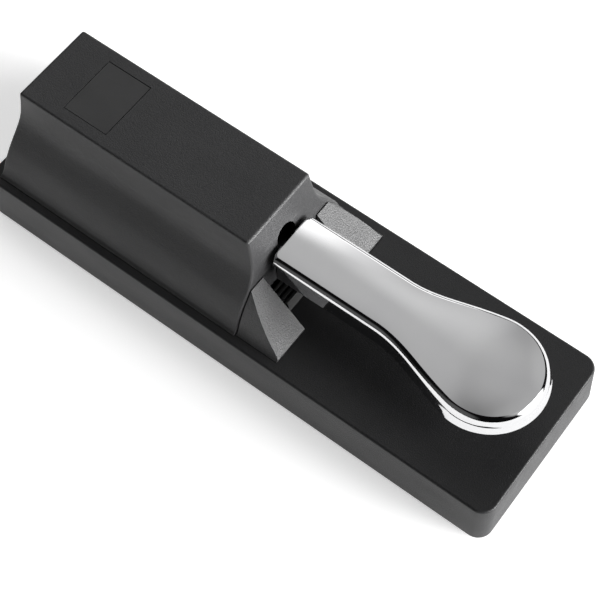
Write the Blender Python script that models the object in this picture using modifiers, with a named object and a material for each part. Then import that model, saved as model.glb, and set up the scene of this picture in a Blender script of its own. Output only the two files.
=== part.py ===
"""Sustain pedal for a keyboard: a chrome lever that rocks in a plastic housing on a weighted base.

Metres, +Z up, +Y towards the housing end, the pedal's tip towards -Y.
The origin is on the floor, under the middle of the base.
"""

import math

import bmesh
import bpy
from mathutils import Matrix, Vector

# ---------------------------------------------------------------- driving dimensions
FOOT_H = 0.0025          # the rubber feet lift the base this far
GAP = 0.0003             # clearance between pieces that touch

BASE_L = 0.2500          # base, top edges
BASE_W = 0.0800
BASE_H = 0.0225
BASE_DRAFT = 0.0013      # each side leans out this far at the bottom
BASE_CORNER = 0.0065
BASE_WALL = 0.0025
PLATE_T = 0.0020         # steel bottom plate

HOUSE_TOP = 0.0665       # heights from here on are above the base's bottom edge
HOUSE_WALL = 0.0024
HOUSE_Y0_TOP, HOUSE_Y0_BEND, HOUSE_Y0 = 0.0017, -0.0030, -0.0030
HOUSE_BEND_Z = 0.0435
HOUSE_Y1_TOP, HOUSE_Y1 = 0.1157, 0.1198
# half profile of the housing, from the middle of the top down to the lip: (half width, height)
HOUSE_PROFILE = (
    (0.0194, 0.0665), (0.0197, 0.0620), (0.0202, 0.0570), (0.0209, 0.0530), (0.0222, 0.0495),
    (0.0243, 0.0460), (0.0270, 0.0420), (0.0296, 0.0380), (0.0318, 0.0338), (0.0335, 0.0300),
    (0.0347, 0.0264), (0.0354, 0.0245), (0.0363, 0.0236), (0.0366, 0.0228),
)
SLOT_HALF = 0.0055       # slot for the rocker in the housing's front
SLOT_Z0, SLOT_Z1 = 0.0300, 0.0560
LABEL = (0.0278, 0.0218, 0.0864)   # width, length, middle along Y
LABEL_DEPTH = 0.0007
GLAND_Z = 0.0340

GUARD_IN = 0.0175        # inner face of each guard
GUARD_Y0, GUARD_Y1 = -0.0236, -0.0044
GUARD_TOP, GUARD_TOE = 0.0425, 0.0236
GUARD_INSET = 0.0009

PIVOT_Y, PIVOT_Z = 0.0340, 0.0390
THROW = math.radians(6.5)
NECK_HALF = 0.0131
NECK_END = -0.0520       # where the neck starts to widen
SPOON_R = 0.0238
SPOON_Y = -0.0962
SPOON_JOIN = -0.0900     # where the widening meets the round end
PEDAL_TOP = 0.0518
PEDAL_BOTTOM_REAR, PEDAL_BOTTOM_TIP = 0.0398, 0.0420
PEDAL_EDGE_R = 0.0034
PEDAL_SKIN = 0.0030
PEDAL_REAR_Y = -0.0016
ARM_HALF = 0.0040
ARM_Z0, ARM_Z1 = 0.0355, 0.0425
ARM_Y0, ARM_Y1 = -0.0280, 0.0700
AXLE_R = 0.0025
CHEEK = (0.0085, 0.0105)
SPRING_Y, SPRING_R, SPRING_WIRE, SPRING_TURNS = 0.0140, 0.0043, 0.0006, 5
STOP_Y = 0.0500
LEAF_Y, LEAF_Z = 0.0780, 0.0320
POLARITY = (0.0180, 0.0700)


def z(height):
    """A height above the base's bottom edge, as a height above the floor."""
    return height + FOOT_H


BASE_TOP = z(BASE_H)
PIVOT = Vector((0.0, PIVOT_Y, z(PIVOT_Z)))
ORIGIN = Vector((0.0, 0.0, 0.0))

# ---------------------------------------------------------------- scene, collections, materials
for old in list(bpy.data.objects):
    bpy.data.objects.remove(old, do_unlink=True)

PARTS = bpy.data.collections.new("sustain_pedal")
CUTTERS = bpy.data.collections.new("sustain_pedal_cutters")
bpy.context.scene.collection.children.link(PARTS)
bpy.context.scene.collection.children.link(CUTTERS)
CUTTERS.hide_render = True


def material(name, colour, roughness, metallic):
    mat = bpy.data.materials.new(name)
    mat.use_nodes = True
    shader = mat.node_tree.nodes["Principled BSDF"]
    shader.inputs["Base Color"].default_value = (*colour, 1.0)
    shader.inputs["Roughness"].default_value = roughness
    shader.inputs["Metallic"].default_value = metallic
    mat.diffuse_color = (*colour, 1.0)
    return mat


BLACK = (0.030, 0.030, 0.032)
COLOURS = {
    "moulded_black": (BLACK, 0.55, 0.0),
    "base_black": ((0.022, 0.022, 0.024), 0.5, 0.0),
    "guard_black": ((0.034, 0.034, 0.036), 0.6, 0.0),
    "chrome": ((0.78, 0.79, 0.81), 0.06, 1.0),
    "steel": ((0.45, 0.45, 0.46), 0.35, 1.0),
    "zinc": ((0.62, 0.62, 0.60), 0.4, 1.0),
    "spring_steel": ((0.40, 0.41, 0.43), 0.28, 1.0),
    "rubber": ((0.018, 0.018, 0.018), 0.85, 0.0),
    "nylon": ((0.75, 0.73, 0.67), 0.45, 0.0),
    "badge": ((0.020, 0.020, 0.021), 0.35, 0.0),
    "switch_plastic": ((0.03, 0.03, 0.035), 0.4, 0.0),
    "red_plastic": ((0.45, 0.02, 0.02), 0.4, 0.0),
    "board": ((0.02, 0.16, 0.06), 0.45, 0.0),
    "red_wire": ((0.50, 0.02, 0.02), 0.5, 0.0),
    "black_wire": ((0.02, 0.02, 0.02), 0.5, 0.0),
}


def finish(obj, colour, collection=None, parent=None):
    """Gives a piece its own material, its collection and its parent."""
    if collection is None:
        collection = PARTS
    collection.objects.link(obj)
    if collection is CUTTERS:
        obj.hide_render = True
        obj.display_type = "WIRE"
    else:
        rgb, roughness, metallic = COLOURS[colour]
        obj.data.materials.clear()
        obj.data.materials.append(material(obj.name + "_" + colour, rgb, roughness, metallic))
    if parent is not None:
        obj.parent = parent
        obj.location = obj.location - parent.location
    return obj


def smooth(obj, degrees=35.0):
    obj.data.shade_smooth()
    obj.data.set_sharp_from_angle(angle=math.radians(degrees))


def box(name, lo, hi, colour="steel", collection=None, parent=None, edge=0.0, segments=2, at=None):
    """A block between two corners; edge rounds every edge."""
    lo, hi = Vector(lo), Vector(hi)
    middle = Vector(at) if at is not None else (lo + hi) / 2
    bm = bmesh.new()
    bmesh.ops.create_cube(bm, size=1.0)
    size = hi - lo
    centre = (lo + hi) / 2 - middle
    for v in bm.verts:
        v.co = Vector((v.co.x * size.x, v.co.y * size.y, v.co.z * size.z)) + centre
    if edge:
        bmesh.ops.bevel(bm, geom=bm.edges[:], offset=edge, segments=segments, profile=0.5, affect="EDGES")
    mesh = bpy.data.meshes.new(name)
    bm.to_mesh(mesh)
    bm.free()
    obj = bpy.data.objects.new(name, mesh)
    obj.location = middle
    finish(obj, colour, collection, parent)
    if edge:
        smooth(obj)
    return obj


def rod(name, radius, length, centre, axis="Z", colour="steel", collection=None, parent=None, sides=24, edge=0.0):
    """A cylinder along an axis through a centre."""
    bm = bmesh.new()
    bmesh.ops.create_cone(bm, cap_ends=True, segments=sides, radius1=radius, radius2=radius, depth=length)
    if edge:
        rims = [e for e in bm.edges if abs(e.verts[0].co.z - e.verts[1].co.z) < 1e-6]
        bmesh.ops.bevel(bm, geom=rims, offset=edge, segments=2, profile=0.5, affect="EDGES")
    turn = {"X": Matrix.Rotation(math.pi / 2, 3, "Y"), "Y": Matrix.Rotation(math.pi / 2, 3, "X"), "Z": Matrix.Identity(3)}[axis]
    bmesh.ops.transform(bm, matrix=turn.to_4x4(), verts=bm.verts)
    mesh = bpy.data.meshes.new(name)
    bm.to_mesh(mesh)
    bm.free()
    obj = bpy.data.objects.new(name, mesh)
    obj.location = Vector(centre)
    finish(obj, colour, collection, parent)
    smooth(obj)
    return obj


def turned(name, profile, base, colour="steel", collection=None, parent=None, steps=16, up=True, hollow=False):
    """A turned piece: (radius, height) from the top down its outer side, closed on the axis unless hollow."""
    points = list(profile)
    bm = bmesh.new()
    verts = [bm.verts.new((r, 0.0, h)) for r, h in points]
    for a, b in zip(verts, verts[1:]):
        bm.edges.new((a, b))
    if hollow:
        bm.edges.new((verts[-1], verts[0]))
    mesh = bpy.data.meshes.new(name)
    bm.to_mesh(mesh)
    bm.free()
    obj = bpy.data.objects.new(name, mesh)
    obj.location = Vector(base)
    if not up:
        obj.rotation_euler = (math.pi, 0.0, 0.0)
    spin = obj.modifiers.new("turn", "SCREW")
    spin.axis = "Z"
    spin.steps = steps
    spin.render_steps = steps
    spin.use_merge_vertices = True
    spin.merge_threshold = 0.00001
    spin.use_smooth_shade = True
    return finish(obj, colour, collection, parent)


def prism(name, outline, axis, a, b, colour="steel", collection=None, parent=None):
    """A flat outline drawn across an axis and extruded from a to b along it."""
    curve = bpy.data.curves.new(name + "_outline", "CURVE")
    curve.dimensions = "2D"
    curve.fill_mode = "BOTH"
    curve.extrude = abs(b - a) / 2
    spline = curve.splines.new("POLY")
    spline.points.add(len(outline) - 1)
    for point, (u, v) in zip(spline.points, outline):
        point.co = (u, v, 0.0, 1.0)
    spline.use_cyclic_u = True
    holder = bpy.data.objects.new(name + "_outline", curve)
    middle = (a + b) / 2
    frames = {
        "Z": Matrix(((1, 0, 0, 0), (0, 1, 0, 0), (0, 0, 1, middle), (0, 0, 0, 1))),
        "Y": Matrix(((1, 0, 0, 0), (0, 0, -1, middle), (0, 1, 0, 0), (0, 0, 0, 1))),
        "X": Matrix(((0, 0, 1, middle), (1, 0, 0, 0), (0, 1, 0, 0), (0, 0, 0, 1))),
    }
    bpy.context.scene.collection.objects.link(holder)
    graph = bpy.context.evaluated_depsgraph_get()
    mesh = bpy.data.meshes.new_from_object(holder.evaluated_get(graph))
    mesh.name = name
    bpy.data.objects.remove(holder, do_unlink=True)
    bm = bmesh.new()
    bm.from_mesh(mesh)
    bmesh.ops.transform(bm, matrix=frames[axis], verts=bm.verts)
    bmesh.ops.remove_doubles(bm, verts=bm.verts, dist=0.000002)
    bmesh.ops.dissolve_limit(bm, angle_limit=0.002, verts=bm.verts, edges=bm.edges, delimit={"NORMAL"})
    bmesh.ops.recalc_face_normals(bm, faces=bm.faces)
    if bm.calc_volume(signed=True) < 0:
        bmesh.ops.reverse_faces(bm, faces=bm.faces)
    bm.to_mesh(mesh)
    bm.free()
    obj = bpy.data.objects.new(name, mesh)
    return finish(obj, colour, collection, parent)


def sliced(obj, point, normal):
    """Cuts away everything on the side that the normal points to and closes the cut."""
    bm = bmesh.new()
    bm.from_mesh(obj.data)
    everything = bm.verts[:] + bm.edges[:] + bm.faces[:]
    bmesh.ops.bisect_plane(bm, geom=everything, plane_co=point, plane_no=normal, clear_outer=True, dist=1e-6)
    rim = [e for e in bm.edges if e.is_boundary]
    bmesh.ops.contextual_create(bm, geom=rim)
    bmesh.ops.recalc_face_normals(bm, faces=bm.faces)
    bm.to_mesh(obj.data)
    bm.free()


def rounded_edges(obj, width, segments, chosen):
    """Rounds the edges for which chosen(edge) is true."""
    bm = bmesh.new()
    bm.from_mesh(obj.data)
    bm.normal_update()
    edges = [e for e in bm.edges if chosen(e)]
    bmesh.ops.bevel(bm, geom=edges, offset=width, segments=segments, profile=0.5, affect="EDGES", clamp_overlap=True)
    bm.to_mesh(obj.data)
    bm.free()


def boolean(target, other, operation="DIFFERENCE"):
    step = target.modifiers.new(operation.lower() + "_" + other.name, "BOOLEAN")
    step.operation = operation
    step.solver = "EXACT"
    step.object = other
    return step


def cut(target, other):
    return boolean(target, other, "DIFFERENCE")


def join(target, other):
    return boolean(target, other, "UNION")


def placed(obj, offset):
    """Moves an object's shape so that its origin lies at offset."""
    offset = Vector(offset)
    obj.data.transform(Matrix.Translation(-offset))
    obj.location = obj.location + offset
    return obj


def drafted_block(name, half_x, half_y, z0, z1, draft, corner, edge, colour, collection=None, corner_segments=6):
    """An upright block with rounded corners whose sides lean out by draft towards its bottom."""
    bm = bmesh.new()
    bmesh.ops.create_cube(bm, size=2.0)
    for v in bm.verts:
        low = v.co.z < 0
        spread = draft if low else 0.0
        v.co = Vector((
            math.copysign(half_x + spread, v.co.x),
            math.copysign(half_y + spread, v.co.y),
            z0 if low else z1,
        ))
    upright = [e for e in bm.edges if abs(e.verts[0].co.z - e.verts[1].co.z) > 1e-6]
    bmesh.ops.bevel(bm, geom=upright, offset=corner, segments=corner_segments, profile=0.5, affect="EDGES")
    if edge:
        rim = [e for e in bm.edges if all(abs(v.co.z - z1) < 1e-6 for v in e.verts)]
        bmesh.ops.bevel(bm, geom=rim, offset=edge, segments=2, profile=0.5, affect="EDGES")
    mesh = bpy.data.meshes.new(name)
    bm.to_mesh(mesh)
    bm.free()
    obj = bpy.data.objects.new(name, mesh)
    finish(obj, colour, collection)
    return obj


def screw(name, base, head_r, head_h, shank_r, length, parent=None, up=True, countersunk=False, colour="zinc"):
    """A screw whose head's outer face is at base and whose shank points up (or down)."""
    if countersunk:
        profile = [(0.0, length), (shank_r * 0.5, length), (shank_r, length - shank_r), (shank_r, head_h), (head_r, 0.0003), (head_r, 0.0)]
    else:
        profile = [(0.0, length), (shank_r * 0.5, length), (shank_r, length - shank_r), (shank_r, head_h), (head_r, head_h), (head_r, 0.0005), (head_r * 0.8, 0.0)]
    profile += [(head_r * 0.42, 0.0), (head_r * 0.42, head_h * 0.45), (0.0, head_h * 0.45)]
    return turned(name, profile, base, colour, parent=parent, steps=12, up=up)


# ---------------------------------------------------------------- base
PLATE_SCREWS = [(sx * 0.0325, y) for y in (-0.108, 0.000, 0.108) for sx in (-1, 1)]
BRACKET_SCREWS = [(sx * 0.0140, y) for y in (0.0270, 0.0410) for sx in (-1, 1)]
HOUSE_SCREWS = [(sx * 0.0268, y) for y in (0.0130, 0.1040) for sx in (-1, 1)]
GUARD_SCREWS = [(sx * 0.0225, -0.0110) for sx in (-1, 1)]

base = drafted_block("base_tray", BASE_W / 2, BASE_L / 2, z(0), BASE_TOP, BASE_DRAFT, BASE_CORNER, 0.0009, "base_black")
smooth(base)
hollow = drafted_block(
    "cut_base_hollow", BASE_W / 2 - BASE_WALL, BASE_L / 2 - BASE_WALL, z(-0.004), BASE_TOP - BASE_WALL,
    BASE_DRAFT, BASE_CORNER - BASE_WALL, 0.0, "steel", CUTTERS,
)
cut(base, hollow)
for i, (x, y) in enumerate(PLATE_SCREWS):
    join(base, rod(f"add_plate_boss_{i}", 0.0040, BASE_H - PLATE_T - GAP - 0.0010, (x, y, z((BASE_H - 0.0010 + PLATE_T + GAP) / 2)), collection=CUTTERS, sides=16))
    cut(base, rod(f"cut_plate_pilot_{i}", 0.0019, 0.0120, (x, y, z(PLATE_T + 0.0055)), collection=CUTTERS, sides=12))
for i, (x, y) in enumerate(BRACKET_SCREWS + GUARD_SCREWS + HOUSE_SCREWS):
    cut(base, rod(f"cut_top_hole_{i}", 0.0019, 0.0080, (x, y, BASE_TOP - 0.0015), collection=CUTTERS, sides=12))
# opening under the switch, where its two leads go down
cut(base, box("cut_lead_hole", (0.0070, 0.0840, BASE_TOP - 0.006), (0.0150, 0.0900, BASE_TOP + 0.003), collection=CUTTERS))

plate = drafted_block("bottom_plate", BASE_W / 2 - BASE_WALL + BASE_DRAFT - 0.0005, BASE_L / 2 - BASE_WALL + BASE_DRAFT - 0.0005, z(0), z(PLATE_T), 0.0, BASE_CORNER - BASE_WALL, 0.0, "steel")
for i, (x, y) in enumerate(PLATE_SCREWS):
    cut(plate, turned(
        f"cut_sink_{i}", [(0.0, PLATE_T + 0.001), (0.0019, PLATE_T + 0.001), (0.0019, 0.0017), (0.0036, 0.0), (0.0036, -0.001), (0.0, -0.001)],
        (x, y, z(0)), collection=CUTTERS, steps=16,
    ))
    screw(f"plate_screw_{i + 1}", (x, y, z(0.0001)), 0.0030, 0.0016, 0.0015, 0.0090, countersunk=True)
px, py = POLARITY
cut(plate, box("cut_polarity_slot", (px - 0.0050, py - 0.0021, z(-0.001)), (px + 0.0050, py + 0.0021, z(PLATE_T + 0.001)), collection=CUTTERS))

# feet: long pads at the rear, round ones in the middle and at the front
FOOT_TOP = FOOT_H - GAP
for side, sx in (("left", -1), ("right", 1)):
    lo, hi = sorted((sx * 0.0402, sx * 0.0285))
    box(f"foot_rear_{side}", (lo, 0.0945, 0.0), (hi, 0.1165, FOOT_TOP), "rubber", edge=0.0006, segments=2)
    rod(f"foot_middle_{side}", 0.0060, FOOT_TOP, (sx * 0.0345, -0.0080, FOOT_TOP / 2), "Z", "rubber", sides=24, edge=0.0005)
    rod(f"foot_front_{side}", 0.0070, FOOT_TOP, (sx * 0.0290, -0.0950, FOOT_TOP / 2), "Z", "rubber", sides=24, edge=0.0005)

# ---------------------------------------------------------------- housing
def house_outline(inset, drop):
    """The housing's cross-section, inset from its outside, with its foot dropped by drop."""
    half = []
    n = len(HOUSE_PROFILE)
    for i, (x, h) in enumerate(HOUSE_PROFILE):
        a = HOUSE_PROFILE[max(i - 1, 0)]
        b = HOUSE_PROFILE[min(i + 1, n - 1)]
        t = Vector((b[0] - a[0], b[1] - a[1])).normalized()
        out = Vector((-t.y, t.x))
        if i == 0:
            half.append((x - inset, h - inset))
        else:
            half.append((x - out.x * inset, h - out.y * inset))
    x_last, h_last = half[-1]
    if drop:
        half.append((x_last, h_last - drop))
    outline = [(x, z(h)) for x, h in half]
    return outline + [(-x, h) for x, h in reversed(outline)]


def trimmed_ends(obj, inset):
    """Slopes the two ends of the housing, inset from its outside."""
    lean = Vector((0.0, HOUSE_BEND_Z - HOUSE_TOP, HOUSE_Y0_TOP - HOUSE_Y0_BEND)).normalized()
    # front: upper sloping part, then the upright part below the bend
    sliced(obj, Vector((0.0, HOUSE_Y0_TOP, z(HOUSE_TOP))) - lean * inset, lean)
    sliced(obj, Vector((0.0, HOUSE_Y0 + inset, 0.0)), Vector((0.0, -1.0, 0.0)))
    back = Vector((0.0, HOUSE_TOP - BASE_H, HOUSE_Y1 - HOUSE_Y1_TOP)).normalized()
    sliced(obj, Vector((0.0, HOUSE_Y1_TOP, z(HOUSE_TOP))) - back * inset, back)


housing = prism("housing_cover", house_outline(0.0, 0.0), "Y", -0.010, 0.130, "moulded_black")
trimmed_ends(housing, 0.0)
rounded_edges(
    housing, 0.0011, 2,
    lambda e: len(e.link_faces) == 2 and e.calc_face_angle(0.0) > math.radians(50) and min(v.co.z for v in e.verts) > z(0.0230) + 0.0004,
)
smooth(housing, 28)
inside = prism("cut_housing_hollow", house_outline(HOUSE_WALL, 0.006), "Y", -0.010, 0.130, collection=CUTTERS)
trimmed_ends(inside, HOUSE_WALL)
cut(housing, inside)
for i, (x, y) in enumerate(HOUSE_SCREWS):
    join(housing, rod(f"add_housing_boss_{i}", 0.0036, 0.0122, (x, y, z(0.0228 + 0.0061)), collection=CUTTERS, sides=16))
    cut(housing, rod(f"cut_housing_pilot_{i}", 0.0019, 0.0100, (x, y, z(0.0228 + 0.0035)), collection=CUTTERS, sides=12))
arch = [(-SLOT_HALF, z(SLOT_Z0)), (SLOT_HALF, z(SLOT_Z0))]
for k in range(13):
    a = math.pi * k / 12
    arch.append((SLOT_HALF * math.cos(a), z(SLOT_Z1 - SLOT_HALF) + SLOT_HALF * math.sin(a)))
cut(housing, prism("cut_rocker_slot", arch, "Y", -0.012, 0.0085, collection=CUTTERS))
lw, ll, ly = LABEL
cut(housing, box("cut_label_recess", (-lw / 2, ly - ll / 2, z(HOUSE_TOP - LABEL_DEPTH)), (lw / 2, ly + ll / 2, z(HOUSE_TOP + 0.002)), collection=CUTTERS))
cut(housing, rod("cut_gland_hole", 0.0045, 0.020, (0.0, 0.118, z(GLAND_Z)), "Y", collection=CUTTERS, sides=24))
box("label_badge", (-lw / 2 + GAP, ly - ll / 2 + GAP, z(HOUSE_TOP - LABEL_DEPTH) + 0.00015), (lw / 2 - GAP, ly + ll / 2 - GAP, z(HOUSE_TOP - 0.0001)), "badge")
for i, (x, y) in enumerate(HOUSE_SCREWS):
    screw(f"housing_screw_{i + 1}", (x, y, BASE_TOP - BASE_WALL - GAP - 0.0016), 0.0030, 0.0016, 0.0015, 0.0105)

# cable gland: a rubber bush with its flange outside the rear wall
gland_y = HOUSE_Y1_TOP + (HOUSE_Y1 - HOUSE_Y1_TOP) * (HOUSE_TOP - GLAND_Z) / (HOUSE_TOP - BASE_H)
gland = turned(
    "cable_gland",
    [(0.0027, 0.0032), (0.0041, 0.0032), (0.0041, -0.0018), (0.0060, -0.0018), (0.0060, -0.0030), (0.0048, -0.0052), (0.0027, -0.0052)],
    (0.0, gland_y - 0.0006, z(GLAND_Z)), "rubber", steps=24, hollow=True,
)
gland.rotation_euler = (math.pi / 2 + math.atan2(HOUSE_Y1 - HOUSE_Y1_TOP, HOUSE_TOP - BASE_H) * 1.0, 0.0, 0.0)

# ---------------------------------------------------------------- guards beside the pedal
def guard_outline(sx):
    points = []
    n = len(HOUSE_PROFILE)
    for i, (x, h) in enumerate(HOUSE_PROFILE):
        if h > GUARD_TOP + 0.004:
            continue
        a, b = HOUSE_PROFILE[max(i - 1, 0)], HOUSE_PROFILE[min(i + 1, n - 1)]
        t = Vector((b[0] - a[0], b[1] - a[1])).normalized()
        points.append((x + t.y * GUARD_INSET, h - t.x * GUARD_INSET))
    top = points[0][1]
    outline = [(GUARD_IN, BASE_H + GAP), (GUARD_IN, top)] + points[:-1] + [(points[-1][0], BASE_H + GAP)]
    outline = [(sx * x, z(h)) for x, h in outline]
    return outline if sx > 0 else outline[::-1]


slope = Vector((0.0, -(GUARD_TOP - GUARD_TOE), GUARD_Y1 - GUARD_Y0)).normalized()
for side, sx in (("left", -1), ("right", 1)):
    guard = prism(f"guard_{side}", guard_outline(sx), "Y", GUARD_Y0, GUARD_Y1, "guard_black")
    sliced(guard, Vector((0.0, GUARD_Y1, z(GUARD_TOP))), slope)
    rounded_edges(
        guard, 0.0006, 2,
        lambda e: len(e.link_faces) == 2 and e.calc_face_angle(0.0) > math.radians(38) and min(v.co.z for v in e.verts) > z(BASE_H) + 0.0006,
    )
    smooth(guard, 28)
    gx, gy = sx * 0.0225, -0.0110
    cut(guard, rod(f"cut_guard_pilot_{side}", 0.0019, 0.0100, (gx, gy, BASE_TOP + 0.0030), collection=CUTTERS, sides=12))
    screw(f"guard_screw_{side}", (gx, gy, BASE_TOP - BASE_WALL - GAP - 0.0016), 0.0030, 0.0016, 0.0015, 0.0100)

# ---------------------------------------------------------------- pedal (moves about the pivot)
pedal_pivot = bpy.data.objects.new("pedal_pivot", None)
pedal_pivot.location = PIVOT
PARTS.objects.link(pedal_pivot)


def pedal_half_width(y):
    if y >= NECK_END:
        return NECK_HALF
    if y >= SPOON_JOIN:
        span = NECK_END - SPOON_JOIN
        s = (NECK_END - y) / span
        reach = math.sqrt(SPOON_R ** 2 - (SPOON_JOIN - SPOON_Y) ** 2)
        slant = (SPOON_JOIN - SPOON_Y) / reach
        return (
            NECK_HALF * (1 - 3 * s * s + 2 * s ** 3)
            + reach * (3 * s * s - 2 * s ** 3)
            + slant * span * (s ** 3 - s * s)
        )
    return math.sqrt(max(SPOON_R ** 2 - (y - SPOON_Y) ** 2, 0.0))


def pedal_outline(inset):
    """The pedal seen from above: straight neck, widening, round end."""
    corner = 0.0034 - inset * 0.5
    half = []
    rear = PEDAL_REAR_Y - inset * 1.9
    for k in range(4):
        a = math.pi / 2 * k / 3
        half.append((NECK_HALF - inset - corner + corner * math.sin(a), rear - corner + corner * math.cos(a)))
    y_points = [NECK_END + 0.024 * (1 - k / 3) for k in range(4)]
    y_points += [NECK_END + (SPOON_JOIN - NECK_END) * k / 9 for k in range(1, 10)]
    for y in y_points:
        w = pedal_half_width(y)
        slant = (pedal_half_width(y - 0.0001) - pedal_half_width(y + 0.0001)) / 0.0002
        n = Vector((1.0, slant)).normalized()
        half.append((w - n.x * inset, y - n.y * inset))
    first = math.asin((SPOON_JOIN - SPOON_Y) / SPOON_R)
    r = SPOON_R - inset
    for k in range(1, 13):
        a = first + (-math.pi / 2 - first) * k / 12
        half.append((r * math.cos(a), SPOON_Y + r * math.sin(a)))
    half[-1] = (0.0, SPOON_Y - r)
    outline = half + [(-x, y) for x, y in reversed(half[:-1])]
    return outline[::-1]


def under_cut(obj):
    """Slopes the pedal's lower edge up towards the tip, and leans its rear end like the housing's front."""
    rise = Vector((0.0, PEDAL_BOTTOM_TIP - PEDAL_BOTTOM_REAR, 0.1180)).normalized()
    sliced(obj, Vector((0.0, 0.0, z(PEDAL_BOTTOM_REAR))), Vector((0.0, -rise.y, -rise.z)))
    lean = Vector((0.0, HOUSE_BEND_Z - HOUSE_TOP, HOUSE_Y0_TOP - HOUSE_Y0_BEND)).normalized()
    sliced(obj, Vector((0.0, HOUSE_Y0_TOP - 0.0006, z(HOUSE_TOP))), -lean)


casting = prism("pedal_casting", pedal_outline(0.0), "Z", z(0.0380), z(PEDAL_TOP), "chrome")
under_cut(casting)
rounded_edges(
    casting, PEDAL_EDGE_R, 4,
    lambda e: len(e.link_faces) == 2 and e.calc_face_angle(0.0) > math.radians(60) and min(v.co.z for v in e.verts) > z(PEDAL_TOP) - 1e-5,
)
smooth(casting, 40)
placed(casting, PIVOT)
casting.parent = pedal_pivot
casting.location = (0.0, 0.0, 0.0)
cut(casting, prism("cut_pedal_hollow", pedal_outline(PEDAL_SKIN), "Z", z(0.0360), z(PEDAL_TOP - PEDAL_SKIN), collection=CUTTERS))
cut(casting, box("cut_pedal_notch", (-ARM_HALF - 0.0006, -0.009, z(0.036)), (ARM_HALF + 0.0006, 0.002, z(ARM_Z1 + 0.0006)), collection=CUTTERS))
PEDAL_SCREWS = (-0.0120, -0.0220)
for i, y in enumerate(PEDAL_SCREWS):
    join(casting, rod(f"add_pedal_boss_{i}", 0.0036, 0.0060 + 0.0004, (0.0, y, z(ARM_Z1 + GAP + 0.0032)), collection=CUTTERS, sides=16))
    cut(casting, rod(f"cut_pedal_pilot_{i}", 0.0019, 0.0050, (0.0, y, z(ARM_Z1 + GAP + 0.0022)), collection=CUTTERS, sides=12))

arm = box("rocker_arm", (-ARM_HALF, ARM_Y0, z(ARM_Z0)), (ARM_HALF, ARM_Y1, z(ARM_Z1)), "steel", parent=pedal_pivot, edge=0.0006, segments=1, at=PIVOT)
cut(arm, rod("cut_axle_bore", AXLE_R + GAP, 0.012, PIVOT, "X", collection=CUTTERS, sides=24))
for i, y in enumerate(PEDAL_SCREWS):
    cut(arm, rod(f"cut_arm_hole_{i}", 0.0019, 0.012, (0.0, y, z((ARM_Z0 + ARM_Z1) / 2)), collection=CUTTERS, sides=12))
    cut(arm, rod(f"cut_arm_sink_{i}", 0.0033, 0.0022 * 2, (0.0, y, z(ARM_Z0)), collection=CUTTERS, sides=16))
    screw(f"pedal_screw_{i + 1}", (0.0, y, z(ARM_Z0 + 0.0003)), 0.0028, 0.0016, 0.0015, 0.0108, parent=pedal_pivot)
box("actuator_pad", (-0.0025, 0.0640, z(ARM_Z0 - 0.0019)), (0.0025, 0.0690, z(ARM_Z0 - GAP)), "nylon", parent=pedal_pivot, edge=0.0003, segments=1, at=PIVOT)

# ---------------------------------------------------------------- pivot
BR_Y0, BR_Y1, BR_T = 0.0235, 0.0445, 0.0020
BR_Z0 = BASE_TOP + GAP
u_shape = [
    (-0.0175, BR_Z0), (0.0175, BR_Z0), (0.0175, BR_Z0 + BR_T), (CHEEK[1], BR_Z0 + BR_T), (CHEEK[1], z(PIVOT_Z + 0.0052)),
    (CHEEK[0], z(PIVOT_Z + 0.0052)), (CHEEK[0], BR_Z0 + BR_T), (-CHEEK[0], BR_Z0 + BR_T), (-CHEEK[0], z(PIVOT_Z + 0.0052)),
    (-CHEEK[1], z(PIVOT_Z + 0.0052)), (-CHEEK[1], BR_Z0 + BR_T), (-0.0175, BR_Z0 + BR_T),
]
bracket = prism("pivot_bracket", u_shape, "Y", BR_Y0, BR_Y1, "steel")
rounded_edges(
    bracket, 0.0050, 4,
    lambda e: all(v.co.z > z(PIVOT_Z + 0.0051) for v in e.verts) and abs(e.verts[0].co.y - e.verts[1].co.y) < 1e-6,
)
cut(bracket, rod("cut_bracket_bore", AXLE_R + GAP, 0.030, PIVOT, "X", collection=CUTTERS, sides=24))
for i, (x, y) in enumerate(BRACKET_SCREWS):
    cut(bracket, rod(f"cut_bracket_hole_{i}", 0.0019, 0.006, (x, y, BR_Z0 + BR_T / 2), collection=CUTTERS, sides=12))
    screw(f"bracket_screw_{i + 1}", (x, y, BR_Z0 + BR_T + GAP + 0.0016), 0.0028, 0.0016, 0.0015, 0.0078, up=False)

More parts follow.
